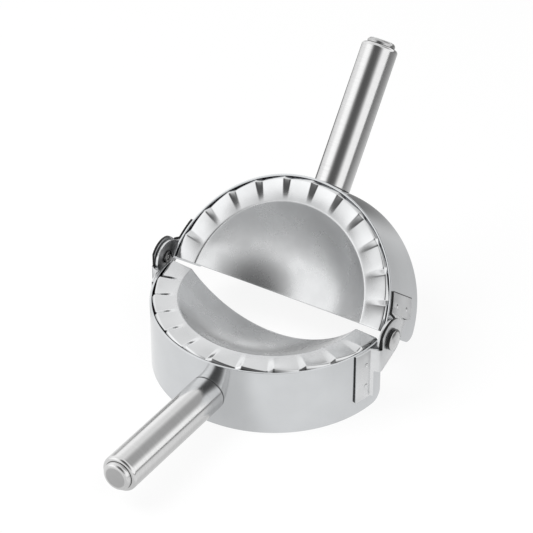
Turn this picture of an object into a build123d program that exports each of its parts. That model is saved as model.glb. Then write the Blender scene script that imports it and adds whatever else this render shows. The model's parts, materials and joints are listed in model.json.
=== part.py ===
"""Empanada press: two hinged half rings, each with a crimping bowl, two hinge brackets and a handle.

Frame, in millimetres: +Z is up and z = 0 is the surface on which the front half stands. The hinge line runs
along X, straight above the origin. The front half lies flat at -Y; the rear half is folded up at +Y.
Every piece is modelled lying flat in the front half. A piece of the rear half is then turned about Z, and
folded up about the hinge line by rest_fold.
"""

import os
from math import asin, cos, degrees, radians, sin, sqrt, tan

from build123d import *

# Cutting rings
ring_diameter = 120.0  # outside
ring_wall = 1.0
ring_height = 35.3
ring_corner = 6.0  # rounding of the lower corners beside the hinge
ring_gap = 0.6  # from the hinge line to the cut ends of either ring

# Crimping bowls, pressed from sheet
bowl_gap = 1.5  # from the hinge line to the cut edge of either bowl
bowl_sheet = 1.0
bowl_radius = 46.5  # at the mouth
bowl_depth = 20.0
bowl_shoulder = 1.5  # rounding from the bowl to its flat land
land_width = 1.8  # flat land between the bowl and the crimp
hem_depth = 6.0  # turned-down edge inside the ring, below the ring's top edge
hem_clearance = 0.05
crimp_count = 12  # teeth in each half
crimp_height = 1.7  # valley to crest at the outer edge
crimp_flank = 0.2  # share of a tooth that is its steep flank
crimp_lift = 0.5  # middle of the crimp above the ring's top edge
shut_gap = 0.6  # between the two crimps when the press is shut

# Hinge: brackets spot-welded to the rings, joined by a rivet and a washer
bracket_sheet = 1.2
bracket_bend = 1.2  # radius of the bends, at the middle of the sheet
weld_gap = 0.02  # between faces that are welded together
strap_drop = 0.3  # top of the strap below the ring's top edge
front_strap_width = 9.6
front_strap_height = 27.0
front_elbow = 9.4  # from the hinge line to the bend at the ear
front_ear_radius = 10.0
front_weld_drop = 7.4  # upper weld below the top of the strap
rear_strap_width = 10.8
rear_strap_height = 24.0
rear_elbow = 9.6
rear_ear_radius = 8.6
rear_weld_drop = 5.6
ear_tail = 13.4  # lowest point of an ear below the hinge line
ear_toe = 0.9  # from the bend at the ear to the ear's flat edge
elbow_slope = 1.4  # how much further from the hinge line the sheet leaves the ring
tail_room = 1.8  # from the ring to the inner ear
weld_pitch = 12.2
weld_inset = 6.4  # from the strap's far edge to the welds
dent_radius = 1.1
dent_depth = 0.35
rivet_radius = 2.5
rivet_bore_radius = 1.4
rivet_head_radius = 5.2
rivet_head_height = 2.6
rivet_head_rim = 1.9  # straight side of the head, below its dome
rivet_head_edge = 0.45  # rounding between the side and the dome
rivet_tail_radius = 3.4
rivet_tail_height = 0.75
rivet_tail_roll = 0.34  # rounding of the rolled tail's edges
running_fit = 0.05  # radial, between the rivet and the rear ear
seat_fit = 0.02  # radial, between the rivet and what it is clenched in
hinge_play = 0.1  # along the hinge line, beside each moving face
washer_radius = 5.6
washer_thickness = 0.5

# Handles
handle_radius = 9.1
handle_wall = 1.0
handle_length = 72.5  # from the ring to the closed end of the tube, on the axis
handle_height = 16.5  # axis above the ring's lower edge, at the ring
handle_rise = 1.8  # degrees by which the axis climbs away from the ring
handle_edge = 1.6  # rounding of the tube's closed end
cap_radius = 7.05
cap_height = 2.6
cap_edge = 1.8
cap_flange = 0.85  # step of the cap behind the tube's lip
cap_grip = 3.0  # length of the cap behind the tube's lip
cap_clearance = 0.05
plug_length = 4.0  # on the axis, from the ring
plug_clearance = 0.05
plug_bore_radius = 2.0

# Rest pose and the sizes that follow from those above
rest_fold = 50.0  # degrees of the rear half above flat
ring_radius = ring_diameter / 2
ring_bore = ring_radius - ring_wall
crimp_middle = ring_height + crimp_lift
crimp_pitch = 180 / crimp_count
hinge_height = crimp_middle + shut_gap / 2
land_radius = bowl_radius + land_width
hem_radius = ring_bore - hem_clearance
inner_ear = ring_radius + tail_room
outer_ear = inner_ear + bracket_sheet + washer_thickness + 2 * hinge_play
handle_bore = handle_radius - handle_wall
strap_top = ring_height - strap_drop
beyond = 2 * ring_diameter  # larger than anything that it cuts

hinge_plane = Plane((0, 0, hinge_height), x_dir=(1, 0, 0), z_dir=(0, -1, 0))
hinge_axis = Axis((0, 0, hinge_height), (1, 0, 0))
handle_root = (0, -ring_radius, handle_height)
handle_way = (0, -cos(radians(handle_rise)), sin(radians(handle_rise)))
handle_axis = Axis(handle_root, handle_way)
handle_plane = Plane(handle_root, x_dir=(1, 0, 0), z_dir=(0, -handle_way[2], handle_way[1]))


def half_ring():
    """Cutting ring of one half, with its lower corners rounded beside the hinge."""
    with BuildPart() as ring:
        with BuildSketch():
            Circle(ring_radius)
            Circle(ring_bore, mode=Mode.SUBTRACT)
        extrude(amount=ring_height)
        with BuildSketch(Plane.YZ):
            with Locations((-ring_gap - beyond / 2, beyond / 2)):
                Rectangle(beyond, beyond)
            fillet(vertices().group_by(Axis.X)[-1].group_by(Axis.Y)[0], ring_corner)
        extrude(amount=beyond, both=True, mode=Mode.INTERSECT)
    return ring.part


def tooth_line(distance, fade, level):
    """Top line of one tooth across a plane at this distance from the ring's axis, as (across, up) points."""
    width = 2 * distance * tan(radians(crimp_pitch / 2))
    swing = crimp_height / 2 * (distance - fade) / (hem_radius - fade)
    valley = (-width / 2, level - swing)
    crest = (width * (crimp_flank - 0.5), level + swing)
    return [valley, crest, (width / 2, level - swing)]


def tooth_ring(fade, start, radius, level, floor):
    """Solid under the crimp of the front half, from start to a cylinder. The teeth rise from nothing at fade,
    and their flanks are centred on whole pitches."""
    corner = radius / cos(radians(crimp_pitch / 2)) + ring_wall
    with BuildPart() as tooth:
        for distance in (start, corner):
            top = tooth_line(distance, fade, level)
            foot = [(top[-1][0], floor), (top[0][0], floor)]
            with BuildSketch(Plane((-distance, 0, 0), x_dir=(0, -1, 0), z_dir=(-1, 0, 0))):
                with BuildLine():
                    Polyline(*top, *foot, close=True)
                make_face()
        loft(ruled=True)
    with BuildPart() as teeth:
        for count in range(crimp_count + 1):
            turn = crimp_pitch * (count + 0.5 - crimp_flank / 2)
            add(tooth.part.rotate(Axis.Z, turn), clean=False)
        Cylinder(radius, beyond, mode=Mode.INTERSECT)
    return teeth.part


def half_bowl():
    """Pressed half bowl with its land, its crimp and a hem turned down inside the ring."""
    sphere = (bowl_radius**2 + bowl_depth**2) / (2 * bowl_depth)
    under = crimp_middle - bowl_sheet
    mouth_under = sqrt((sphere + bowl_sheet) ** 2 - (sphere - bowl_depth + bowl_sheet) ** 2)
    buried = bowl_sheet / 20  # the crimp starts this far inside the faces of the land
    crimp_start = (mouth_under + land_radius) / 2
    fade = crimp_start - 2 * buried
    hem_foot = ring_height - hem_depth
    outside = tooth_ring(fade, crimp_start, hem_radius, crimp_middle - buried, hem_foot)
    inside = tooth_ring(fade, crimp_start - buried, hem_radius - bowl_sheet, under + buried,
                        hem_foot - hem_depth)
    with BuildPart() as bowl:
        with BuildSketch(Plane.XZ):
            with BuildLine():
                inner = RadiusArc((0, crimp_middle - bowl_depth), (bowl_radius, crimp_middle), -sphere)
                Polyline((bowl_radius, crimp_middle), (land_radius, crimp_middle), (land_radius, under),
                         (mouth_under, under))
                outer = RadiusArc((mouth_under, under), (0, under - bowl_depth), sphere + bowl_sheet)
                Line(outer @ 1, inner @ 0)
            make_face()
            mouth = vertices().filter_by_position(Axis.X, bowl_radius - buried, bowl_radius + buried)
            fillet(mouth, bowl_shoulder)
        revolve(axis=Axis.Z)
        add(outside - inside)
        with Locations((0, -bowl_gap - beyond / 2, 0)):
            Box(beyond, beyond, beyond, mode=Mode.INTERSECT)
    return bowl.part


def bracket(ear_face, ear_radius, ear_bore, elbow, strap_width, strap_height, weld_drop):
    """Right-hand hinge bracket of the front half: a strap on the ring, a bend outwards and a round ear."""
    middle = ring_radius + weld_gap + bracket_sheet / 2
    ear_middle = ear_face + bracket_sheet / 2
    root = -elbow - elbow_slope
    ear_edge = ear_toe - elbow
    root_angle = degrees(asin(root / middle))
    strap_angle = degrees(strap_width / middle)
    strap_foot = strap_top - strap_height
    tail = hinge_height - ear_tail
    with BuildPart() as piece:
        with BuildSketch(Plane.XY.offset(strap_foot)):
            with BuildLine() as plan:
                strap = CenterArc((0, 0), middle, root_angle - strap_angle, strap_angle)
                Polyline(strap @ 1, (ear_middle, -elbow), (ear_middle, ear_radius))
                bends = plan.vertices().sort_by(Axis.Y)[1:3]
                fillet(bends, bracket_bend)
            trace(line_width=bracket_sheet)
        extrude(amount=beyond)
        with BuildSketch(Plane.YZ):
            with BuildLine():
                Polyline((ear_edge, tail), (ear_edge, strap_top))
                CenterArc((0, hinge_height), ear_radius, 0, 360)
            make_hull()
            with Locations((ear_edge, hinge_height)):
                Rectangle(beyond, beyond, align=(Align.MAX, Align.CENTER), mode=Mode.SUBTRACT)
            with BuildLine():
                Polyline((-beyond, strap_foot), (root, strap_foot), (root, tail), (ear_edge, tail),
                         (ear_edge, strap_top), (-beyond, strap_top), close=True)
            make_face()
        extrude(amount=beyond, mode=Mode.INTERSECT)
        with BuildSketch(Plane.YZ):
            with Locations((0, hinge_height)):
                Circle(ear_bore)
        extrude(amount=beyond, mode=Mode.SUBTRACT)
        weld_turn = root_angle - strap_angle + degrees(weld_inset / middle)
        dent_sphere = (dent_radius**2 + dent_depth**2) / (2 * dent_depth)
        weld_face = Plane((0, 0, strap_top - weld_drop)).rotated((0, 0, weld_turn))
        with Locations(weld_face):
            with Locations((middle + bracket_sheet / 2 - dent_depth + dent_sphere, 0, 0),
                           (middle + bracket_sheet / 2 - dent_depth + dent_sphere, 0, -weld_pitch)):
                Sphere(dent_sphere, mode=Mode.SUBTRACT)
    return piece.part


def rivet():
    """Right-hand hinge rivet: a domed head outside the ears and a rolled, hollow tail inside them."""
    tail_face = inner_ear - hinge_play
    head_face = outer_ear + bracket_sheet
    dome_foot = (head_face + rivet_head_rim, rivet_head_radius)
    dome_top = (head_face + rivet_head_height, 0)
    dome_height = rivet_head_height - rivet_head_rim
    dome_sphere = (rivet_head_radius**2 + dome_height**2) / (2 * dome_height)
    with BuildPart() as piece:
        with BuildSketch(hinge_plane):
            with BuildLine():
                RadiusArc(dome_foot, dome_top, dome_sphere)
                Polyline(dome_top, (outer_ear, 0), (outer_ear, rivet_bore_radius),
                         (tail_face - rivet_tail_height, rivet_bore_radius),
                         (tail_face - rivet_tail_height, rivet_tail_radius), (tail_face, rivet_tail_radius),
                         (tail_face, rivet_radius), (head_face, rivet_radius), (head_face, rivet_head_radius),
                         dome_foot)
            make_face()
            fillet(vertices().group_by(Axis.X)[0], rivet_tail_roll)
            fillet(vertices().group_by(Axis.Z)[-1].sort_by(Axis.X)[-1], rivet_head_edge)
        revolve(axis=hinge_axis)
    return piece.part


def washer():
    """Right-hand hinge washer, between the two ears."""
    with BuildPart() as piece:
        with BuildSketch(Plane.YZ.offset(outer_ear - hinge_play - washer_thickness)):
            with Locations((0, hinge_height)):
                Circle(washer_radius)
                Circle(rivet_radius + seat_fit, mode=Mode.SUBTRACT)
        extrude(amount=washer_thickness)
    return piece.part


def handle_tube():
    """Front handle: a tube coped to the ring, with its far end rolled in around the cap."""
    with BuildPart() as piece:
        with BuildSketch(handle_plane):
            with BuildLine():
                Polyline((handle_bore, -handle_radius), (handle_radius, -handle_radius),
                         (handle_radius, handle_length), (cap_radius + cap_clearance, handle_length),
                         (cap_radius + cap_clearance, handle_length - handle_wall),
                         (handle_bore, handle_length - handle_wall), close=True)
            make_face()
            fillet(vertices().group_by(Axis.Y)[-1].sort_by(Axis.X)[-1], handle_edge)
        revolve(axis=handle_axis)
        Cylinder(ring_radius + weld_gap, beyond, mode=Mode.SUBTRACT)
    return piece.part


def end_cap():
    """Front handle's cap: a button through the tube's rolled end, held by a step behind it."""
    step = handle_length - handle_wall - cap_clearance
    with BuildPart() as piece:
        with BuildSketch(handle_plane):
            with BuildLine():
                Polyline((0, step - cap_grip), (cap_radius + cap_flange, step - cap_grip),
                         (cap_radius + cap_flange, step), (cap_radius, step),
                         (cap_radius, handle_length + cap_height), (0, handle_length + cap_height), close=True)
            make_face()
            fillet(vertices().group_by(Axis.Y)[-1].sort_by(Axis.X)[-1], cap_edge)
        revolve(axis=handle_axis)
    return piece.part


def root_plug():
    """Front handle's plug: a bored disc welded to the ring, on which the tube is pressed."""
    with BuildPart() as piece:
        with BuildSketch(handle_plane):
            with Locations((plug_bore_radius, -handle_radius)):
                Rectangle(handle_bore - plug_clearance - plug_bore_radius, handle_radius + plug_length,
                          align=(Align.MIN, Align.MIN))
        revolve(axis=handle_axis)
        Cylinder(ring_radius + weld_gap, beyond, mode=Mode.SUBTRACT)
    return piece.part


def write(piece, name):
    """Writes one finished piece under its name."""
    piece.label = name
    export_step(piece, f"parts/{name}.step")


def folded(piece):
    """The same piece in the rear half, in its rest pose."""
    return piece.rotate(Axis.Z, 180).rotate(hinge_axis, rest_fold)


os.makedirs("parts", exist_ok=True)
front_bracket = bracket(outer_ear, front_ear_radius, rivet_radius + seat_fit, front_elbow, front_strap_width,
                        front_strap_height, front_weld_drop)
rear_bracket = bracket(inner_ear, rear_ear_radius, rivet_radius + running_fit, rear_elbow, rear_strap_width,
                       rear_strap_height, rear_weld_drop)

for piece, name in ((half_ring(), "ring"), (half_bowl(), "crimp_bowl"), (handle_tube(), "handle_tube"),
                    (end_cap(), "handle_cap"), (root_plug(), "handle_plug")):
    write(piece, f"front_{name}")
    write(folded(piece), f"rear_{name}")

for piece, name in ((front_bracket, "front_bracket"), (rivet(), "hinge_rivet"), (washer(), "hinge_washer")):
    write(piece, f"{name}_right")
    write(mirror(piece, about=Plane.YZ), f"{name}_left")

write(folded(rear_bracket), "rear_bracket_left")
write(folded(mirror(rear_bracket, about=Plane.YZ)), "rear_bracket_right")
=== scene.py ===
import json
import math

import bmesh
import bpy
from mathutils import Matrix, Vector
from mathutils.bvhtree import BVHTree


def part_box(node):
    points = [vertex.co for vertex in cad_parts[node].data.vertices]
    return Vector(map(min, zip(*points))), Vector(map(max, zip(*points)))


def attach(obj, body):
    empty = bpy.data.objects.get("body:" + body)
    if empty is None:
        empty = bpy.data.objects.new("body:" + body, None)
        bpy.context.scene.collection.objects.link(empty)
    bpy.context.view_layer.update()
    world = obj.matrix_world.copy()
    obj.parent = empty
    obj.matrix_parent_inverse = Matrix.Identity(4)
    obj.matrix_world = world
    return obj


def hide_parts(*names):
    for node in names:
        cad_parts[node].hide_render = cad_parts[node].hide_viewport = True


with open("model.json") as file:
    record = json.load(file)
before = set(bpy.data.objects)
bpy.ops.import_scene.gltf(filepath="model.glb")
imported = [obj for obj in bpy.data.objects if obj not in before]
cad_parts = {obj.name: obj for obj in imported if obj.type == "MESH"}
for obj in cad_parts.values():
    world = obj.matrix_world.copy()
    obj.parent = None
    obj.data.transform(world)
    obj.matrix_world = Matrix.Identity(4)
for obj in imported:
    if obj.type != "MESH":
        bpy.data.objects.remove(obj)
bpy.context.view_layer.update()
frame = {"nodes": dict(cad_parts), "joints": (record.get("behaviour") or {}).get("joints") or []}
mm = 0.001

# Shared places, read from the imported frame. The front half lies flat. The rear half is the same shape, turned
# round and folded up.
ringRadius, ringCut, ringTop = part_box("front_ring")[1]
hingeHeight = frame["joints"][0]["pos_m"][2]
restFold = math.radians(50)
toHinge = Matrix.Translation((0, 0, hingeHeight))
toRear = toHinge @ Matrix.Rotation(restFold, 4, "X") @ toHinge.inverted() @ Matrix.Rotation(math.pi, 4, "Z")
halves = {"front": Matrix(), "rear": toRear}


class Term:  # one socket of a node tree, so that its maths reads as sums
    def __init__(self, tree, socket=None):
        self.tree = tree
        self.socket = socket

    def node(self, kind, settings=None, inputs=None, out=0):
        made = self.tree.nodes.new(kind)
        for name, value in (settings or {}).items():
            setattr(made, name, value)
        for name, value in (inputs or {}).items():
            if isinstance(value, Term):
                self.tree.links.new(value.socket, made.inputs[name])
            else:
                made.inputs[name].default_value = value
        return Term(self.tree, made.outputs[out]) if len(made.outputs) else None

    def vector(self, operation, other=None):  # a number worked out from one or two vectors
        inputs = {0: self} if other is None else {0: self, 1: other}
        return self.node("ShaderNodeVectorMath", {"operation": operation}, inputs, "Value")

    def split(self):  # the three numbers of a vector
        parts = self.node("ShaderNodeSeparateXYZ", None, {0: self}).socket.node
        return [Term(self.tree, output) for output in parts.outputs]

    def math(self, operation, *others):
        inputs = dict(enumerate((self, *others)))
        return self.node("ShaderNodeMath", {"operation": operation}, inputs)

    def __add__(self, other):
        return self.math("ADD", other)

    def __radd__(self, other):
        return self.math("ADD", other)

    def __sub__(self, other):
        return self.math("SUBTRACT", other)

    def __rsub__(self, other):
        return self.node("ShaderNodeMath", {"operation": "SUBTRACT"}, {0: other, 1: self})

    def __mul__(self, other):
        return self.math("MULTIPLY", other)

    def __rmul__(self, other):
        return self.math("MULTIPLY", other)

    def __truediv__(self, other):
        return self.math("DIVIDE", other)

    def __neg__(self):
        return self.math("MULTIPLY", -1.0)

    def ease(self, start, end, low=0.0, high=1.0):  # from low to high while self goes from start to end
        settings = {"interpolation_type": "SMOOTHSTEP"}
        ends = {"Value": self, "From Min": start, "From Max": end, "To Min": low, "To Max": high}
        return self.node("ShaderNodeMapRange", settings, ends)

    def within(self, start, full, last, end):  # 1 between full and last, 0 before start and after end
        return self.ease(start, full) * self.ease(last, end, 1.0, 0.0)

    def mix(self, low, high):  # numbers: low where self is 0, high where it is 1
        return self.node("ShaderNodeMix", None, {"Factor": self, "A": low, "B": high})

    def blend(self, low, high):  # colours
        return self.node("ShaderNodeMix", {"data_type": "RGBA"}, {0: self, 6: low, 7: high}, 2)


def grey(level, warmth=0.0):
    return (level * (1 + warmth), level, level * (1 - warmth), 1.0)


def arc(centre, radius, start, end, steps):  # points (across, up) on an arc, angles in degrees
    turns = [math.radians(start + (end - start) * k / steps) for k in range(steps + 1)]
    return [(centre[0] + radius * math.cos(t), centre[1] + radius * math.sin(t)) for t in turns]


def lengths(points):  # running length along a row of points
    total = [0.0]
    for a, b in zip(points, points[1:]):
        total.append(total[-1] + (Vector(b) - Vector(a)).length)
    return total


def loft(name, columns, uSteps, vSteps, closed):  # closed loops of points, joined column to column
    made = bmesh.new()
    places = made.loops.layers.uv.new("UVMap")
    rows = [[made.verts.new(point) for point in column] for column in columns]
    size = len(rows[0])
    for c in range(len(rows) if closed else len(rows) - 1):
        near, far = rows[c], rows[(c + 1) % len(rows)]
        for i in range(size):
            j = (i + 1) % size
            face = made.faces.new((near[i], far[i], far[j], near[j]))
            face.smooth = True
            corners = ((c, i), (c + 1, i), (c + 1, i + 1), (c, i + 1))
            for loop, (u, v) in zip(face.loops, corners):
                loop[places].uv = (uSteps[u], vSteps[v])
    if not closed:
        for end in (rows[0], rows[-1]):
            for i in range(size // 2 - 1):
                made.faces.new((end[i], end[i + 1], end[size - 2 - i], end[size - 1 - i]))
    bmesh.ops.remove_doubles(made, verts=made.verts, dist=1e-7)
    bmesh.ops.dissolve_degenerate(made, edges=made.edges, dist=1e-8)
    bmesh.ops.recalc_face_normals(made, faces=made.faces)
    mesh = bpy.data.meshes.new(name)
    made.to_mesh(mesh)
    made.free()
    return mesh


endParts = (0.0, 0.12, 0.35, 0.65, 1.0)  # where a rounded end has a section, as shares of its radius


def rounding(depth, edge):  # how far a face lies back where it is this near to a rounded end
    if depth >= edge:
        return 0.0
    return edge - math.sqrt(edge**2 - (edge - depth) ** 2)


def halfSweep(name, sidesAt, gap, steps, count):
    # sidesAt(depth) gives two matching rows of (radius, height), the section this deep behind a cut end.
    # They are swept round the upright axis, from one cut end to the other.
    columns, uSteps = [], []
    inner = steps[-1]
    last = 2 * len(steps) + count - 2
    for k in range(last + 1):
        mirrored = last - k < len(steps)
        ended = k < len(steps) or mirrored
        depth = steps[min(k, last - k)] if ended else inner
        outside, inside = sidesAt(depth)
        column = []
        for radius, height in outside + inside[::-1]:
            start = math.asin(min(1.0, (gap + depth) / radius))
            if ended:
                turn = math.pi - start if mirrored else start
            else:
                turn = start + (math.pi - 2 * start) * (k - len(steps) + 1) / count
            column.append((-radius * math.cos(turn), -radius * math.sin(turn), height))
        columns.append(column)
        widest = max(column, key=lambda point: abs(point[0]) + abs(point[1]))
        uSteps.append(math.atan2(-widest[1], -widest[0]) * ringRadius)
    outside, inside = sidesAt(inner)
    ring = outside + inside[::-1]
    return loft(name, columns, uSteps, lengths(ring + ring[:1]), False)


def lathe(name, profile, origin, axis, segments, foot=None):
    # A closed outline of (radius, along), spun about an axis. A third value marks a point that is measured
    # from foot(point, axis), where the piece meets its neighbour.
    axis = Vector(axis).normalized()
    side = axis.orthogonal().normalized()
    up = axis.cross(side)
    columns = []
    for k in range(segments):
        turn = 2 * math.pi * k / segments
        out = side * math.cos(turn) + up * math.sin(turn)
        column = []
        for radius, along, *rooted in profile:
            base = Vector(origin) + out * radius
            column.append(base + axis * (foot(base, axis) + along if rooted else along))
        columns.append(column)
    girth = [2 * math.pi * k / segments * profile[0][0] for k in range(segments + 1)]
    flat = [point[:2] for point in profile]
    return loft(name, columns, girth, lengths(flat + flat[:1]), True)


def place(name, mesh, material, body, node):  # a finished piece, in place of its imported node
    piece = bpy.data.objects.new(name, mesh)
    bpy.context.scene.collection.objects.link(piece)
    mesh.materials.clear()
    mesh.materials.append(material)
    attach(piece, body)
    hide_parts(node)


def placeHalves(name, mesh, material, node):  # the same mesh in both halves
    for half, matrix in halves.items():
        copy = mesh.copy()
        copy.transform(matrix)
        place(half + name, copy, material, half + "_half", f"{half}_{node}")


def steel(name, colour, roughness, build):
    # build(term) gives what changes over the surface. Colour and roughness are its average, for a viewer that
    # doesn't read the nodes.
    material = bpy.data.materials.new(name)
    material.use_nodes = True
    tree = material.node_tree
    shader = tree.nodes["Principled BSDF"]
    shader.inputs["Metallic"].default_value = 1.0
    shader.inputs["Base Color"].default_value = colour
    shader.inputs["Roughness"].default_value = roughness
    term = Term(tree)
    for socket, value in build(term).items():
        tree.links.new(value.socket, shader.inputs[socket])
    return material


def objectPlace(term, scale=(1, 1, 1)):
    spot = term.node("ShaderNodeTexCoord", out="Object")
    return term.node("ShaderNodeMapping", None, {"Vector": spot, "Scale": scale})


def uvPlace(term, scale):
    spot = term.node("ShaderNodeTexCoord", out="UV")
    return term.node("ShaderNodeMapping", None, {"Vector": spot, "Scale": scale})


def sectionPlace(term):  # how far round its section a point lies: the UV map's second number
    return uvPlace(term, (1, 1, 1)).split()[1]


def inFront(term, rear):  # 1 on the front half, and this much on the rear half, which lies beyond the hinge
    return objectPlace(term).split()[1].ease(-0.2 * mm, 0.2 * mm, 1.0, rear)


def noise(term, where, scale, detail=2.0, roughness=0.5):
    inputs = {"Vector": where, "Scale": scale, "Detail": detail, "Roughness": roughness}
    return term.node("ShaderNodeTexNoise", None, inputs)


def patches(term, scale, detail=3.0, start=0.35):  # soft patches of wear: 0 is bright steel, 1 is dull
    return noise(term, objectPlace(term), scale, detail).ease(start, 0.75)


def bump(term, height, distance):
    return term.node("ShaderNodeBump", None, {"Height": height, "Distance": distance, "Strength": 1.0})


# In each finish, low and high are the roughness of bright and dull places, and relief is the bump's height.
ringFinish = {
    "colour": grey(0.66, -0.02),
    "dull": grey(0.59, -0.02),
    "low": 0.07,
    "high": 0.14,
    "patch": 45.0,
    "grain": (60, 2600, 1),  # fine lines along the wall
    "scuff": (900, 40, 1),  # scuffs across it
    "relief": 0.0000035,
    "seamShade": grey(0.05),  # painted shade inside the top edge, in the gap where the bowl's hem goes in
    "seamStart": 69.2 * mm,  # places along the section
    "seamFull": 69.7 * mm,
    "seamLast": 71.2 * mm,
    "seamEnd": 71.35 * mm,
    "seamRear": 0.3,
}


def polishedRing(term):
    finish = ringFinish
    grain = noise(term, uvPlace(term, finish["grain"]), 1.0, 3.0, 0.6)
    scuff = noise(term, uvPlace(term, finish["scuff"]), 1.0, 2.0).ease(0.62, 0.78)
    wear = patches(term, finish["patch"])
    face = (wear * 0.5 + scuff * 0.25).blend(finish["colour"], finish["dull"])
    spot = sectionPlace(term)
    # painted shade in the gap under the bowl's hem, weaker on the rear half
    seamShade = spot.within(finish["seamStart"], finish["seamFull"], finish["seamLast"], finish["seamEnd"])
    seamShade = seamShade * inFront(term, finish["seamRear"])
    return {
        "Base Color": seamShade.blend(face, finish["seamShade"]),
        "Roughness": (grain * 0.4 + wear * 0.6).mix(finish["low"], finish["high"]),
        "Normal": bump(term, grain + scuff * 0.3, finish["relief"]),
    }


bowlFinish = {
    "colour": grey(0.68, -0.01),
    "dull": grey(0.6, -0.01),
    "low": 0.24,
    "high": 0.33,
    "crimpLow": 0.07,
    "crimpHigh": 0.14,
    "patch": 60.0,
    "ripple": 130.0,
    "grain": (1500, 1500, 1500),
    "relief": 0.00003,
    "crimpStart": 52 * mm,  # along the sheet, from the middle of the bowl
    "crimpEnd": 61 * mm,  # the polish grows towards the rim
    "hem": grey(0.06),  # painted shade on the hem's outer wall, in the gap to the ring
    "hemStart": 62.3 * mm,
    "hemFull": 63.7 * mm,
    "hemLast": 67.6 * mm,
    "hemEnd": 68.1 * mm,
    "hemRear": 0.1,
}


def pressedBowl(term):
    finish = bowlFinish
    ripple = noise(term, objectPlace(term), finish["ripple"], 2.0)
    grain = noise(term, objectPlace(term, finish["grain"]), 1.0, 2.0)
    wear = patches(term, finish["patch"], 4.0, 0.3)
    worn = grain * 0.3 + wear * 0.7
    spot = sectionPlace(term)
    pressed = spot.ease(finish["crimpStart"], finish["crimpEnd"])
    # painted shade on the hem's outer wall, in the gap to the ring, weaker on the rear half
    hem = spot.within(finish["hemStart"], finish["hemFull"], finish["hemLast"], finish["hemEnd"])
    hem = hem * inFront(term, finish["hemRear"])
    satin = worn.mix(finish["low"], finish["high"])
    bright = worn.mix(finish["crimpLow"], finish["crimpHigh"])
    return {
        "Base Color": hem.blend(wear.blend(finish["colour"], finish["dull"]), finish["hem"]),
        "Roughness": pressed.mix(satin, bright),
        "Normal": bump(term, ripple + grain * 0.02, finish["relief"]),
    }


tubeFinish = {
    "colour": grey(0.71),
    "dull": grey(0.56),
    "low": 0.1,
    "high": 0.2,
    "patch": 55.0,
    "ridges": (25, 5200, 1),  # brushed round the tube
    "bands": (14, 900, 1),
    "relief": 0.00001,
    "joint": grey(0.08),  # painted shade: the dark line in the crease where the tube meets the ring
    "jointFrom": 0.3 * mm,
    "jointTo": 0.9 * mm,
}


def brushedTube(term):
    finish = tubeFinish
    ridges = noise(term, uvPlace(term, finish["ridges"]), 1.0, 4.0, 0.65)
    bands = noise(term, uvPlace(term, finish["bands"]), 1.0, 3.0, 0.6)
    wear = patches(term, finish["patch"])
    face = (ridges.ease(0.3, 0.7) * 0.6 + bands * 0.3).blend(finish["colour"], finish["dull"])
    # painted shade in the crease at the tube's root
    joint = sectionPlace(term).ease(finish["jointFrom"], finish["jointTo"])
    return {
        "Base Color": joint.blend(finish["joint"], face),
        "Roughness": (bands * 0.5 + wear * 0.5).mix(finish["low"], finish["high"]),
        "Normal": bump(term, ridges, finish["relief"]),
    }


sheetFinish = {
    "colour": grey(0.77, -0.01),
    "dull": grey(0.68, -0.01),
    "low": 0.27,
    "high": 0.37,
    "patch": 90.0,
    "grain": (900, 900, 4500),
    "relief": 0.000006,
    # dark cut edges, partly their own rough finish and partly painted shade, and painted shade in gaps, on
    # inner faces and in dents
    "cutEdgeAndShade": grey(0.035),
    "shearedRough": 0.5,
}


def satinSheet(term):
    finish = sheetFinish
    wear = patches(term, finish["patch"])
    grain = noise(term, objectPlace(term, finish["grain"]), 1.0, 3.0, 0.6)
    # the marked faces are painted dark: cut edges and painted shade
    cutEdgeAndShade = term.node("ShaderNodeAttribute", {"attribute_name": "cutEdgeAndShade"}, out="Fac")
    face = (wear * 0.5 + grain * 0.5).blend(finish["colour"], finish["dull"])
    return {
        "Base Color": cutEdgeAndShade.blend(face, finish["cutEdgeAndShade"]),
        "Roughness": cutEdgeAndShade.mix(wear.mix(finish["low"], finish["high"]), finish["shearedRough"]),
        "Normal": bump(term, grain, finish["relief"]),
    }


capFinish = {
    "colour": grey(0.46),
    "dull": grey(0.38),
    "low": 0.28,
    "high": 0.4,
    "patch": 120.0,
    "turned": (20, 6000, 1),
    "relief": 0.000005,
    "rim": grey(0.66),  # the polished shoulder, from here outwards
    # the rear cap's shoulder, painted darker as shade
    "rearRimShade": grey(0.48),
    "rimRough": 0.23,
    "rimFrom": 4.7 * mm,
    "rimTo": 5.6 * mm,
    "groove": grey(0.08),  # painted shade in the gap between the cap and the tube
    "grooveFrom": 8.4 * mm,
    "grooveTo": 8.8 * mm,
}


def capFace(term):
    finish = capFinish
    turned = noise(term, uvPlace(term, finish["turned"]), 1.0, 3.0, 0.6)
    wear = patches(term, finish["patch"])
    spot = sectionPlace(term)
    rim = spot.ease(finish["rimFrom"], finish["rimTo"])
    groove = spot.ease(finish["grooveFrom"], finish["grooveTo"])
    face = (turned * 0.6 + wear * 0.3).blend(finish["colour"], finish["dull"])
    # the rear half's shoulder takes the darker colour: painted shade
    rimColour = inFront(term, 0.0).blend(finish["rearRimShade"], finish["rim"])
    rough = (turned * 0.5 + wear * 0.5).mix(finish["low"], finish["high"])
    return {
        "Base Color": groove.blend(rim.blend(face, rimColour), finish["groove"]),
        "Roughness": rim.mix(rough, finish["rimRough"]),
        "Normal": bump(term, turned, finish["relief"]),
    }


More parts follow.
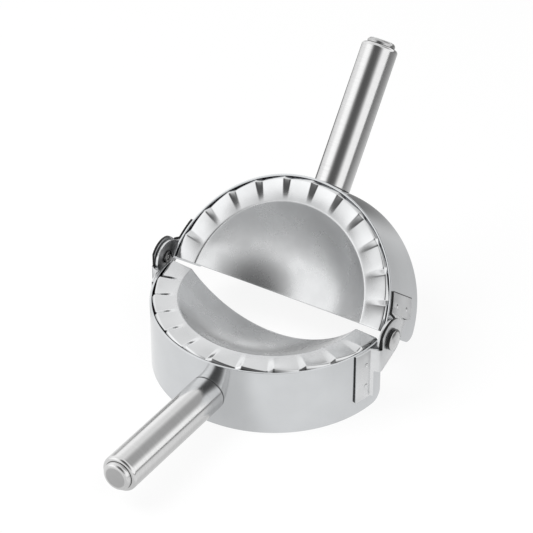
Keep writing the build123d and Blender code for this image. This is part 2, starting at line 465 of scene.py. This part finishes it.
rivetFinish = {
    "colour": grey(0.72),
    "dull": grey(0.6),
    "low": 0.1,
    "high": 0.2,
    "patch": 300.0,
    "fine": 2500.0,
    "relief": 0.000002,
    "dark": grey(0.04),
    "sideFrom": 4.98 * mm,  # painted shade on the turned side of the head
    "sideTo": 5.15 * mm,
    "tailFrom": 61.6 * mm,  # and on the clenched tail, between the ears, up to here from the middle of the press
    "tailTo": 61.9 * mm,
    "tailDark": 0.85,
    "arcWay": (0, 0.75, 0.66),  # and a painted dark reflection, an arc at the upper rear of the face
    "arcFrom": 3.9 * mm,
    "arcTo": 4.4 * mm,
    "arcDark": 0.8,
}


def polishedRivet(term):
    finish = rivetFinish
    wear = patches(term, finish["patch"])
    fine = noise(term, objectPlace(term), finish["fine"], 2.0)
    spot = term.node("ShaderNodeTexCoord", out="Object")
    centred = {"Vector": spot, "Location": (0, 0, -hingeHeight), "Scale": (0, 1, 1)}
    flat = term.node("ShaderNodeMapping", None, centred)
    radius = flat.vector("LENGTH")
    across = spot.vector("DOT_PRODUCT", (1, 0, 0)).math("ABSOLUTE")
    darkReflection = (flat.vector("DOT_PRODUCT", finish["arcWay"]) / radius).ease(0.5, 0.85)
    darkReflection = darkReflection * radius.ease(finish["arcFrom"], finish["arcTo"], 0.0, finish["arcDark"])
    side = radius.ease(finish["sideFrom"], finish["sideTo"])
    tail = across.ease(finish["tailFrom"], finish["tailTo"], finish["tailDark"], 0.0)
    # painted shade on the head's side and the tail, and a painted dark reflection on the face
    dark = side.math("MAXIMUM", tail).math("MAXIMUM", darkReflection)
    return {
        "Base Color": dark.blend(wear.blend(finish["colour"], finish["dull"]), finish["dark"]),
        "Roughness": (wear * 0.6 + fine * 0.4).mix(finish["low"], finish["high"]),
        "Normal": bump(term, fine, finish["relief"]),
    }


plainFinish = {
    "colour": grey(0.55),
    "dull": grey(0.42),
    "low": 0.25,
    "high": 0.4,
    "patch": 160.0,
    "grooves": (400, 400, 5000),
    "relief": 0.000004,
}


def turnedSteel(term):
    finish = plainFinish
    wear = patches(term, finish["patch"])
    grooves = noise(term, objectPlace(term, finish["grooves"]), 1.0, 2.0)
    return {
        "Base Color": wear.blend(finish["colour"], finish["dull"]),
        "Roughness": wear.mix(finish["low"], finish["high"]),
        "Normal": bump(term, grooves, finish["relief"]),
    }


finishes = {
    "ring": steel("ringPolish", grey(0.67), 0.1, polishedRing),
    "bowl": steel("bowlPolish", grey(0.7), 0.15, pressedBowl),
    "tube": steel("tubeBrushed", grey(0.66), 0.2, brushedTube),
    "sheet": steel("sheetSatin", grey(0.66), 0.25, satinSheet),
    "cap": steel("capTurned", grey(0.6), 0.25, capFace),
    "rivet": steel("rivetPolish", grey(0.68), 0.15, polishedRivet),
    "plain": steel("turnedSteel", grey(0.55), 0.3, turnedSteel),
}
print("finishes made")

ringShape = {  # the cutting rings
    "wall": 1.0 * mm,
    "edge": 0.22 * mm,  # rounding of all edges
    "leastEdge": 0.02 * mm,
    "corner": 6.0 * mm,  # lower corners beside the hinge
    "hold": 0.06 * mm,  # keeps the wall's shading flat beside its edges
    "cornerSteps": 14,
    "segments": 300,
}


def ringSides(depth):
    shape = ringShape
    back = rounding(depth, shape["edge"])
    edge = max(shape["edge"] - back, shape["leastEdge"])
    low = rounding(depth, shape["corner"]) + back
    high = ringTop - back
    wide = ringRadius - back
    narrow = ringRadius - shape["wall"] + back
    top = arc((wide - edge, high - edge), edge, 90, 0, 5)
    bottom = arc((wide - edge, low + edge), edge, 0, -90, 5)
    outside = top + [(wide, high - edge - shape["hold"]), (wide, low + edge + shape["hold"])] + bottom
    return outside, [(wide + narrow - radius, height) for radius, height in outside]


def ringSteps():
    edge, count = ringShape["edge"], ringShape["cornerSteps"]
    wide = [ringShape["corner"] * (1 - math.cos(math.radians(90 * k / count))) for k in range(1, count + 1)]
    return [edge * part for part in endParts] + [step for step in wide if step > edge * 1.1]


ringMesh = halfSweep("ring", ringSides, -ringCut, ringSteps(), ringShape["segments"])
placeHalves("Ring", ringMesh, finishes["ring"], "ring")
print("rings made")

bowlShape = {  # the crimping bowls
    "gap": 1.5 * mm,  # from the cut edge to the middle of the press
    "sheet": 1.0 * mm,
    "mouth": 46.5 * mm,
    "depth": 20.0 * mm,
    "shoulder": 1.5 * mm,
    "steps": 12,  # across the crimp
    "rim": 58.95 * mm,
    "bend": 1.05 * mm,  # radius of the bends above and below the slanted band of the rim
    "band": 1.3 * mm,
    "tilt": 38,  # degrees by which the band faces upwards
    "foot": 29.3 * mm,
    "level": 35.8 * mm,
    "edge": 0.3 * mm,
    "lastStep": 1.1 * mm,
    "hold": 0.06 * mm,  # keeps the hem's shading flat under its bend
    "footEdges": (0.3 * mm, 0.1 * mm),  # and above its foot
    "teeth": 12,
    "toothHeight": 1.9 * mm,
    "sink": 0.45,  # share of the tooth height that lies below the crimp's level
    "flank": 0.2,  # share of a tooth that its steep side takes
    "fade": 47.6 * mm,  # radius from which the teeth grow
    "liftFrom": 1.0 * mm,  # the hem follows the teeth, from this far above its foot
    "liftTo": 1.9 * mm,  # and fully from this far below the crimp
    "soften": 0.14,  # rounding of crests and valleys, as a share of the tooth height
    "segments": 420,
}


def bowlSides(depth):
    shape = bowlShape
    sphere = (shape["mouth"] ** 2 + shape["depth"] ** 2) / (2 * shape["depth"])
    middle = shape["level"] - shape["depth"] + sphere
    sheet, fold, bend, tilt = shape["sheet"], shape["shoulder"], shape["bend"], math.radians(shape["tilt"])
    foldUp = shape["level"] - fold
    foldOut = math.sqrt((sphere + fold) ** 2 - (middle - foldUp) ** 2)
    lean = math.degrees(math.atan2(foldUp - middle, foldOut))
    first = math.degrees(math.asin(shape["gap"] / sphere)) - 90
    upperBend = (shape["rim"] - bend - shape["band"] * math.sin(tilt), shape["level"] - bend)
    lowerBend = (shape["rim"] - bend, upperBend[1] - shape["band"] * math.cos(tilt))
    crimp = [foldOut + (upperBend[0] - foldOut) * k / shape["steps"] for k in range(1, shape["steps"])]
    foot = shape["foot"]

    def side(back):  # back is how far below the upper face
        rows = arc((0, middle), sphere + back, first, lean, 30)
        rows += arc((foldOut, foldUp), fold - back, lean + 180, 90, 6)[1:]
        rows += [(radius, shape["level"] - back) for radius in crimp]
        rows += arc(upperBend, bend - back, 90, shape["tilt"], 6)
        rows += arc(lowerBend, bend - back, shape["tilt"], 0, 5)
        heights = [lowerBend[1] - shape["hold"], *(foot + edge for edge in shape["footEdges"]), foot]
        return rows + [(shape["rim"] - back, height) for height in heights]

    inset = rounding(depth, shape["edge"])
    return side(inset), side(sheet - inset)


def bowlSteps():
    return [bowlShape["edge"] * part for part in endParts] + [bowlShape["lastStep"]]


def toothTree():  # lifts the crimp into teeth, in a wave that runs round the upright axis
    tree = bpy.data.node_groups.new("toothCrimp", "GeometryNodeTree")
    sockets = {"Geometry": "NodeSocketGeometry", "Material": "NodeSocketMaterial"}
    for name in ("Teeth", "Height", "Sink", "Flank", "Fade", "Rim", "Soften", "Level", "Foot"):
        sockets[name] = "NodeSocketFloat"
    ports = {}
    for name, kind in sockets.items():
        ports[name] = tree.interface.new_socket(name, in_out="INPUT", socket_type=kind).identifier
    tree.interface.new_socket("Geometry", in_out="OUTPUT", socket_type="NodeSocketGeometry")
    given = tree.nodes.new("NodeGroupInput")
    inputs = {name: Term(tree, given.outputs[name]) for name in ports}
    term = Term(tree)
    x, y, z = term.node("GeometryNodeInputPosition").split()
    flank, soften = inputs["Flank"], inputs["Soften"]
    turn = (-y).math("ARCTAN2", -x)
    phase = turn * inputs["Teeth"] / math.pi + flank / 2
    tooth = (phase + 0.5).math("FRACT") - 0.5
    fall = 1 - flank
    wave = (tooth / flank).math("SMOOTH_MAX", -tooth / fall, soften)
    wave = wave.math("SMOOTH_MIN", (1 - tooth) / fall, soften)
    radius = (x * x + y * y).math("SQRT")
    reach = ((radius - inputs["Fade"]) / (inputs["Rim"] - inputs["Fade"])).math("MAXIMUM", 0.0)
    hold = z.ease(inputs["Foot"], inputs["Level"])
    lift = inputs["Height"] * reach * (wave - inputs["Sink"]) * hold
    offset = term.node("ShaderNodeCombineXYZ", None, {"Z": lift})
    moved = term.node("GeometryNodeSetPosition", None, {"Geometry": inputs["Geometry"], "Offset": offset})
    real = term.node("GeometryNodeRealizeInstances", None, {"Geometry": moved})
    done = term.node("GeometryNodeSetMaterial", None, {"Geometry": real, "Material": inputs["Material"]})
    term.node("NodeGroupOutput", None, {0: done})
    return tree, ports


def grown(name, mesh, tree, ports, values):  # runs a geometry tree on a mesh and keeps the plain result
    carrier = bpy.data.objects.new(name, mesh)
    bpy.context.scene.collection.objects.link(carrier)
    modifier = carrier.modifiers.new(name, "NODES")
    modifier.node_group = tree
    for key, value in values.items():
        modifier[ports[key]] = value
    ready = carrier.evaluated_get(bpy.context.evaluated_depsgraph_get())
    result = bpy.data.meshes.new_from_object(ready)
    bpy.data.objects.remove(carrier)
    return result


bowlBase = halfSweep("bowlBase", bowlSides, bowlShape["gap"], bowlSteps(), bowlShape["segments"])
toothValues = {
    "Teeth": float(bowlShape["teeth"]),
    "Height": bowlShape["toothHeight"],
    "Sink": bowlShape["sink"],
    "Flank": bowlShape["flank"],
    "Fade": bowlShape["fade"],
    "Rim": bowlShape["rim"],
    "Soften": bowlShape["soften"],
    "Level": bowlShape["level"] - bowlShape["liftTo"],
    "Foot": bowlShape["foot"] + bowlShape["liftFrom"],
    "Material": finishes["bowl"],
}
bowlMesh = grown("bowl", bowlBase, *toothTree(), toothValues)
placeHalves("Bowl", bowlMesh, finishes["bowl"], "crimp_bowl")
print("bowls made")

tubeShape = {  # the handles
    "radius": 9.1 * mm,
    "wall": 1.0 * mm,
    "length": 72.5 * mm,
    "height": 16.5 * mm,
    "rise": 1.8,  # degrees
    "edge": 1.8 * mm,
    "mouth": 7.1 * mm,
    "lip": 0.2 * mm,  # rounding of the mouth
    "hold": 0.1 * mm,
    "rootGap": 0.02 * mm,
    "rootEdge": 0.5 * mm,
    "steps": 12,
    "segments": 128,
}
capShape = {
    "radius": 7.05 * mm,
    "height": 2.6 * mm,
    "edge": 1.8 * mm,
    "hold": 0.05 * mm,
    "flange": 0.85 * mm,  # it lies behind the tube's rolled edge
    "play": 0.05 * mm,
    "grip": 3.0 * mm,
}
rise = math.radians(tubeShape["rise"])
tubeRoot = Vector((0, -ringRadius, tubeShape["height"]))
tubeWay = Vector((0, -math.cos(rise), math.sin(rise)))


def onRing(base, axis):  # how far along the axis the ring's outer wall lies
    radius = ringRadius + tubeShape["rootGap"]
    a = axis.x**2 + axis.y**2
    b = 2 * (base.x * axis.x + base.y * axis.y)
    c = base.x**2 + base.y**2 - radius**2
    return (-b + math.sqrt(b * b - 4 * a * c)) / (2 * a)


def tubeOutline():
    shape = tubeShape
    radius, end, edge, lip, root = (shape[key] for key in ("radius", "length", "edge", "lip", "rootEdge"))
    bore, back, count = radius - shape["wall"], end - shape["wall"], shape["steps"]
    outline = [(*point, True) for point in arc((radius - root, root), root, -90, 0, 4)]
    outline += [(radius, root + shape["hold"], True)]
    outline += [(radius, (end - edge) * k / count) for k in range(2, count)]
    outline += [(radius, end - edge - shape["hold"])]
    outline += arc((radius - edge, end - edge), edge, 0, 90, 8)
    outline += arc((shape["mouth"] + lip, end - lip), lip, 90, 180, 3)
    return outline + [(shape["mouth"], back), (bore, back), (bore, 0.0, True)]


def capOutline():
    shape, end = capShape, tubeShape["length"]
    radius, edge, hold = shape["radius"], shape["edge"], shape["hold"]
    wide = radius + shape["flange"]
    top = end + shape["height"]
    step = end - tubeShape["wall"] - shape["play"]
    inner = step - shape["grip"]
    face = [(0.0, top), ((radius - edge) * 0.5, top), (radius - edge - hold, top)]
    side = arc((radius - edge, top - edge), edge, 90, 0, 9) + [(radius, top - edge - hold), (radius, step)]
    return face + side + [(wide, step), (wide, inner), (0.0, inner)]


tubeMesh = lathe("tube", tubeOutline(), tubeRoot, tubeWay, tubeShape["segments"], onRing)
capMesh = lathe("cap", capOutline(), tubeRoot, tubeWay, tubeShape["segments"])
placeHalves("HandleTube", tubeMesh, finishes["tube"], "handle_tube")
placeHalves("HandleCap", capMesh, finishes["cap"], "handle_cap")
print("handles made")

bracketShape = {  # the hinges
    "edge": 0.2 * mm,
    "merge": 0.001 * mm,
    "flat": 0.5,  # degrees within which neighbouring facets become one face
    "sharp": 30,  # degrees from which an edge is softened
    "crease": 20,  # degrees from which shading stops at an edge, so that flat faces stay flat
    "elbow": 9.4 * mm,  # the ear reaches this far from the hinge line
    "ear": 61.0 * mm,  # and lies outside of this
    "thick": 1.9 * mm,  # a face with more metal than this behind it is a cut edge of the sheet
    "probe": 0.01 * mm,
}
bracketDark = {  # how dark the bracket's faces are painted: cut edges, partly their own rough finish and partly painted shade, and painted shade on inner faces, in dents and beside edges
    "rearInside": 0.62,  # painted shade on the ears' inner faces, between the two ears
    "frontInside": 0.3,
    "inward": 0.9,
    "dent": 0.6,  # painted shade on one side of a weld's dent
    "dentTilt": 0.12,
    "weldFrom": 12.8 * mm,  # the welds lie further than this from the hinge line
    "farEdge": 0.85,  # painted shadow along the far edge of a rear strap
    "farStrip": 0.5 * mm,  # width of that painted shadow line beside the edge
    "farWall": 0.75 * mm,  # this much of a front strap's end face is dark, from the ring's wall outwards
    "endward": 0.6,
    "upward": 0.5,  # the strap's upper and lower edges stay bright
}
rivetShape = {
    "head": 5.2 * mm,
    "dome": 0.95 * mm,
    "headEdge": 0.5 * mm,
    "headTop": 67.5 * mm,
    "headFace": 64.92 * mm,
    "shank": 2.5 * mm,
    "bore": 1.4 * mm,
    "boreEnd": 63.7 * mm,
    "hold": 0.05 * mm,
    "under": (0.15 * mm, 0.2 * mm),  # chamfer under the head
    "tail": 3.4 * mm,
    "tailFace": 61.7 * mm,
    "tailEnd": 60.95 * mm,
    "roll": 0.34 * mm,
    "segments": 96,
}
washerShape = {
    "outer": 5.6 * mm,
    "bore": 2.52 * mm,
    "inside": 63.1 * mm,
    "outside": 63.6 * mm,
    "edge": 0.08 * mm,
}


def darkness(half, softened, edged, farEnd, centre, normal):  # how dark a bracket's face is painted, as it lies flat: cut edges and painted shade
    dark, rear = bracketDark, half == "rear"
    inEar = abs(centre.y) < bracketShape["elbow"] and abs(centre.x) > bracketShape["ear"]
    endFace = normal.y < -dark["endward"]
    # painted shadow line along the rear strap's far edge
    if rear and centre.y < farEnd:
        return dark["farEdge"]
    if softened:
        return dark["farEdge"] if rear and endFace and not inEar else 0.0
    if edged and rear:
        return 0.0 if inEar else 1.0
    if edged:
        outer = endFace and centre.xy.length > ringRadius + dark["farWall"]
        return 1.0 if inEar or not (outer or abs(normal.z) > dark["upward"]) else 0.0
    # an ear's face turned toward the other ear gets painted shade
    if inEar and normal.x * math.copysign(1.0, centre.x) < -dark["inward"]:
        return dark["rearInside"] if rear else dark["frontInside"]
    # painted shade on one side of a weld's dent, chosen by which way its face tilts
    fromMiddle = Vector((centre.x, centre.y, 0.0)).normalized()
    tilt = normal - fromMiddle
    dented = (tilt.y if rear else -tilt.z) > dark["dentTilt"] and fromMiddle.dot(normal) > 0.5
    return dark["dent"] if dented and abs(centre.y) > dark["weldFrom"] else 0.0


def bracketMesh(node, half):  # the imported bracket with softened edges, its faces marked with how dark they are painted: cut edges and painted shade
    shape = bracketShape
    flat, turned = halves[half].inverted(), halves[half].to_3x3()
    side = math.copysign(1.0, (flat @ node.data.vertices[0].co).x)
    made = bmesh.new()
    made.from_mesh(node.data)
    bmesh.ops.remove_doubles(made, verts=made.verts, dist=shape["merge"])
    level = math.radians(shape["flat"])
    bmesh.ops.dissolve_limit(made, angle_limit=level, verts=made.verts, edges=made.edges)
    sharp = [edge for edge in made.edges if edge.calc_face_angle(0.0) > math.radians(shape["sharp"])]
    soft = made.faces.layers.int.new("soft")
    bevelled = bmesh.ops.bevel(made, geom=sharp, offset=shape["edge"], offset_type="OFFSET",
                               segments=2, profile=0.5, affect="EDGES", clamp_overlap=True)
    for face in bevelled["faces"]:
        face[soft] = 1
    farEnd = min((flat @ vert.co).y for vert in made.verts) + bracketDark["farStrip"]
    along = farEnd / ringRadius
    way = Vector((side * math.sqrt(1 - along**2), along, 0))
    cuts = (((0, farEnd, 0), (0, 1, 0)), (way * (ringRadius + bracketDark["farWall"]), way))
    for spot, normal in cuts:  # so that the painted dark strips end at a straight line
        bmesh.ops.bisect_plane(made, geom=made.verts[:] + made.edges[:] + made.faces[:], dist=shape["merge"],
                               plane_co=halves[half] @ Vector(spot), plane_no=turned @ Vector(normal))
    bmesh.ops.triangulate(made, faces=made.faces)
    bmesh.ops.recalc_face_normals(made, faces=made.faces)
    solid = BVHTree.FromBMesh(made)
    # each face's painted darkness: cut edges and painted shade
    mark = made.loops.layers.float.new("cutEdgeAndShade")
    for face in made.faces:
        centre = face.calc_center_median()
        inside = solid.ray_cast(centre - face.normal * shape["probe"], -face.normal)
        edged = inside[0] is None or inside[3] > shape["thick"]
        dark = darkness(half, face[soft] == 1, edged, farEnd, flat @ centre, flat.to_3x3() @ face.normal)
        for loop in face.loops:
            loop[mark] = dark
        face.smooth = True
    mesh = bpy.data.meshes.new(node.name)
    made.to_mesh(mesh)
    made.free()
    mesh.set_sharp_from_angle(angle=math.radians(shape["crease"]))
    return mesh


def rivetOutline():
    shape = rivetShape
    head, edge, roll, face = shape["head"], shape["headEdge"], shape["roll"], shape["headFace"]
    sphere = (head**2 + shape["dome"] ** 2) / (2 * shape["dome"])
    lean = math.degrees(math.asin((head - edge) / sphere))
    rows = arc((0.0, shape["headTop"] - sphere), sphere, 90, 90 - lean, 12)
    rows += arc((head - edge, rows[-1][1] - edge), edge, 70, 0, 5)
    rows += [(head, rows[-1][1] - shape["hold"]), (head, face + shape["under"][1])]
    rows += [(head - shape["under"][0], face), (shape["shank"], face), (shape["shank"], shape["tailFace"])]
    rows += arc((shape["tail"] - roll, shape["tailFace"] - roll), roll, 90, 0, 4)
    rows += arc((shape["tail"] - roll, shape["tailEnd"] + roll), roll, 0, -90, 4)
    rows += arc((shape["bore"] + roll, shape["tailEnd"] + roll), roll, -90, -180, 4)
    return rows + [(shape["bore"], shape["boreEnd"]), (0.0, shape["boreEnd"])]


def washerOutline():
    shape = washerShape
    outer, edge = shape["outer"], shape["edge"]
    rows = arc((outer - edge, shape["outside"] - edge), edge, 90, 0, 3)
    rows += arc((outer - edge, shape["inside"] + edge), edge, 0, -90, 3)
    return rows + [(shape["bore"], shape["inside"]), (shape["bore"], shape["outside"])]


fasteners = (
    ("rivet", rivetOutline(), "rivet", "rivet_polished"),
    ("washer", washerOutline(), "plain", "hidden_steel"),
)
for side, way in (("right", 1), ("left", -1)):
    for kind, outline, finish, slot in fasteners:
        mesh = lathe(kind, outline, (0, 0, hingeHeight), (way, 0, 0), rivetShape["segments"])
        place(f"{kind}_{side}", mesh, finishes[finish], "front_half", f"hinge_{kind}_{side}")
for name, node in list(frame["nodes"].items()):
    if "bracket" in name:
        half = name.split("_")[0]
        mesh = bracketMesh(node, half)
        place("hinge_" + name, mesh, finishes["sheet"], half + "_half", name)
    elif "plug" in name:
        node.data.materials.clear()
        node.data.materials.append(finishes["plain"])
print("hinges made")

studio = {  # the floor
    "floorRadius": 1.4,
    "segments": 96,
    "shade": 0.15,  # share of the floor's brightness that a shadow takes away
    "bright": 1.02,
    "mirror": 0.82,  # brightness of the mirrored floor beside the object
    "away": (0.9, 0.44, 0.0),  # it darkens this way, away from the light
    "near": 0.05,
    "reach": 0.15,
    "farLevel": 0.2,
    "paintedShadows": (  # painted shadows in it: x, y, inner and outer radius, level
        (0.185, 0.085, 0.03, 0.06, 0.1),
        (-0.125, 0.02, 0.035, 0.065, 0.25),
        (-0.16, 0.21, 0.12, 0.19, 0.1),
    ),
    "stripPlace": 0.01,  # a soft strip of shadow beside the front handle, across x
    "stripNear": 0.008,
    "stripFar": 0.026,
    "stripLevel": 0.8,
}
cameraPlace = {
    "azimuth": 31.919,
    "elevation": 35.381,
    "distance": 1.16062,
    "target": (-0.004347, -0.000026, 0.051864),
    "lens": 163.84,
    "sensor": 36.0,
    "clipEnd": 20.0,
}


def direction(azimuth, elevation):  # azimuth 0 is the front, 90 the right
    a, e = math.radians(azimuth), math.radians(elevation)
    return Vector((math.sin(a) * math.cos(e), -math.cos(a) * math.cos(e), math.sin(e)))


def aim(placed, back):  # turns a camera or lamp to look against this direction
    placed.rotation_euler = (-back).to_track_quat("-Z", "Y").to_euler()
    bpy.context.scene.collection.objects.link(placed)


def rays(term):  # what the camera sees, and what mirrors and glass see
    path = term.node("ShaderNodeLightPath").socket.node.outputs
    names = ("Is Camera Ray", "Is Glossy Ray", "Is Transmission Ray")
    seen, glossy, clear = (Term(term.tree, path[name]) for name in names)
    return seen, glossy.math("MAXIMUM", clear)


def makeCamera():
    settings = cameraPlace
    data = bpy.data.cameras.new("camera")
    data.lens = settings["lens"]
    data.sensor_width = settings["sensor"]
    data.clip_end = settings["clipEnd"]
    camera = bpy.data.objects.new("camera", data)
    back = direction(settings["azimuth"], settings["elevation"])
    camera.location = Vector(settings["target"]) + back * settings["distance"]
    aim(camera, back)
    bpy.context.scene.camera = camera


def makeFloor():
    made = bmesh.new()
    bmesh.ops.create_circle(made, cap_ends=True, radius=studio["floorRadius"], segments=studio["segments"])
    mesh = bpy.data.meshes.new("floor")
    made.to_mesh(mesh)
    made.free()
    floor = bpy.data.objects.new("floor", mesh)
    bpy.context.scene.collection.objects.link(floor)
    material = bpy.data.materials.new("floor")
    material.use_nodes = True
    tree = material.node_tree
    tree.nodes.clear()
    term = Term(tree)
    seen, mirrored = rays(term)
    spot = term.node("ShaderNodeTexCoord", out="Object")
    away = spot.vector("DOT_PRODUCT", studio["away"])
    fade = ((studio["near"] - away) / studio["reach"]).math("MINIMUM", 0.0).math("EXPONENT")
    falloff = fade * (1 - studio["farLevel"]) + studio["farLevel"]
    # painted shadows in the mirrored floor
    for x, y, near, far, low in studio["paintedShadows"]:
        falloff = falloff * spot.vector("DISTANCE", (x, y, 0)).ease(near, far, low, 1.0)
    across, along = spot.split()[:2]
    aside = (across - studio["stripPlace"]).math("ABSOLUTE")
    strip = aside.ease(studio["stripNear"], studio["stripFar"], studio["stripLevel"], 1.0)
    strip = along.ease(-ringRadius, -0.5 * ringRadius).mix(strip, 1.0)
    level = seen * (studio["bright"] - studio["shade"]) + mirrored * falloff * strip * studio["mirror"]
    glow = term.node("ShaderNodeEmission", None, {"Strength": level})
    matt = term.node("ShaderNodeBsdfDiffuse", None, {"Color": grey(studio["shade"])})
    both = term.node("ShaderNodeAddShader", None, {0: glow, 1: matt})
    term.node("ShaderNodeOutputMaterial", None, {"Surface": both})
    mesh.materials.append(material)


room = {  # brightness of the surroundings, as the steel mirrors them
    "walls": 1.32,
    "ceiling": 1.0,
    "wallTop": 0.4,  # from here up the walls fade into the ceiling: the sine of the elevation
    "horizon": (-0.02, 0.03),
    "belowNear": 1.1,  # under the horizon it is bright on one side and dark on the other
    "belowFar": 0.2,
    "farWay": (0.8, 0.6, 0.0),
    "farEdges": (-0.35, 0.2),
    "matt": 0.4,  # light that the room gives to matt surfaces
}
panels = (  # azimuth, elevation, half width and softness in degrees, brightness
    (-100, 0, 12, 25, 1.12),
    (-53, 21, 3, 21, 1.48),
    (-10, 36, 7, 14, 0.9),
    (17, 38, 0.5, 42, 0.15),
    (3, 58, 8, 20, 0.12),
    (-170, 50, 6, 30, 1.0),
    (150, 43, 9, 24, 0.5),
    (-137, -2, 4, 13, 0.15),
)


def makeWorld():
    world = bpy.data.worlds.new("studio")
    world.use_nodes = True
    bpy.context.scene.world = world
    tree = world.node_tree
    tree.nodes.clear()
    term = Term(tree)
    seen, mirrored = rays(term)
    way = term.node("ShaderNodeTexCoord", out="Generated")
    up = way.split()[2]
    glow = up.ease(room["wallTop"], 1.0, room["walls"], room["ceiling"])
    for azimuth, elevation, half, soft, level in panels:
        facing = way.vector("DOT_PRODUCT", direction(azimuth, elevation))
        start, end = math.cos(math.radians(half + soft)), math.cos(math.radians(half))
        glow = facing.ease(start, end).mix(glow, level)
    far = way.vector("DOT_PRODUCT", room["farWay"])
    below = far.ease(*room["farEdges"], room["belowNear"], room["belowFar"])
    glow = up.ease(*room["horizon"]).mix(below, glow)
    level = seen.math("MAXIMUM", mirrored).mix(room["matt"], seen.mix(glow, 1.0))
    sky = term.node("ShaderNodeBackground", None, {"Color": grey(1.0), "Strength": level})
    term.node("ShaderNodeOutputWorld", None, {"Surface": sky})


lamps = (  # name, azimuth, elevation, distance, size, power
    ("keyLamp", -50, 55, 1.5, 0.9, 11.0),
    ("fillLamp", 70, 50, 1.6, 1.1, 7.0),
)


def makeLamps():
    for name, azimuth, elevation, distance, size, power in lamps:
        data = bpy.data.lights.new(name, "AREA")
        data.size = size
        data.energy = power
        lamp = bpy.data.objects.new(name, data)
        back = direction(azimuth, elevation)
        lamp.location = back * distance
        lamp.visible_glossy = False
        aim(lamp, back)


makeCamera()
makeFloor()
makeWorld()
makeLamps()
bpy.context.scene.view_settings.view_transform = "Standard"
print("studio made")
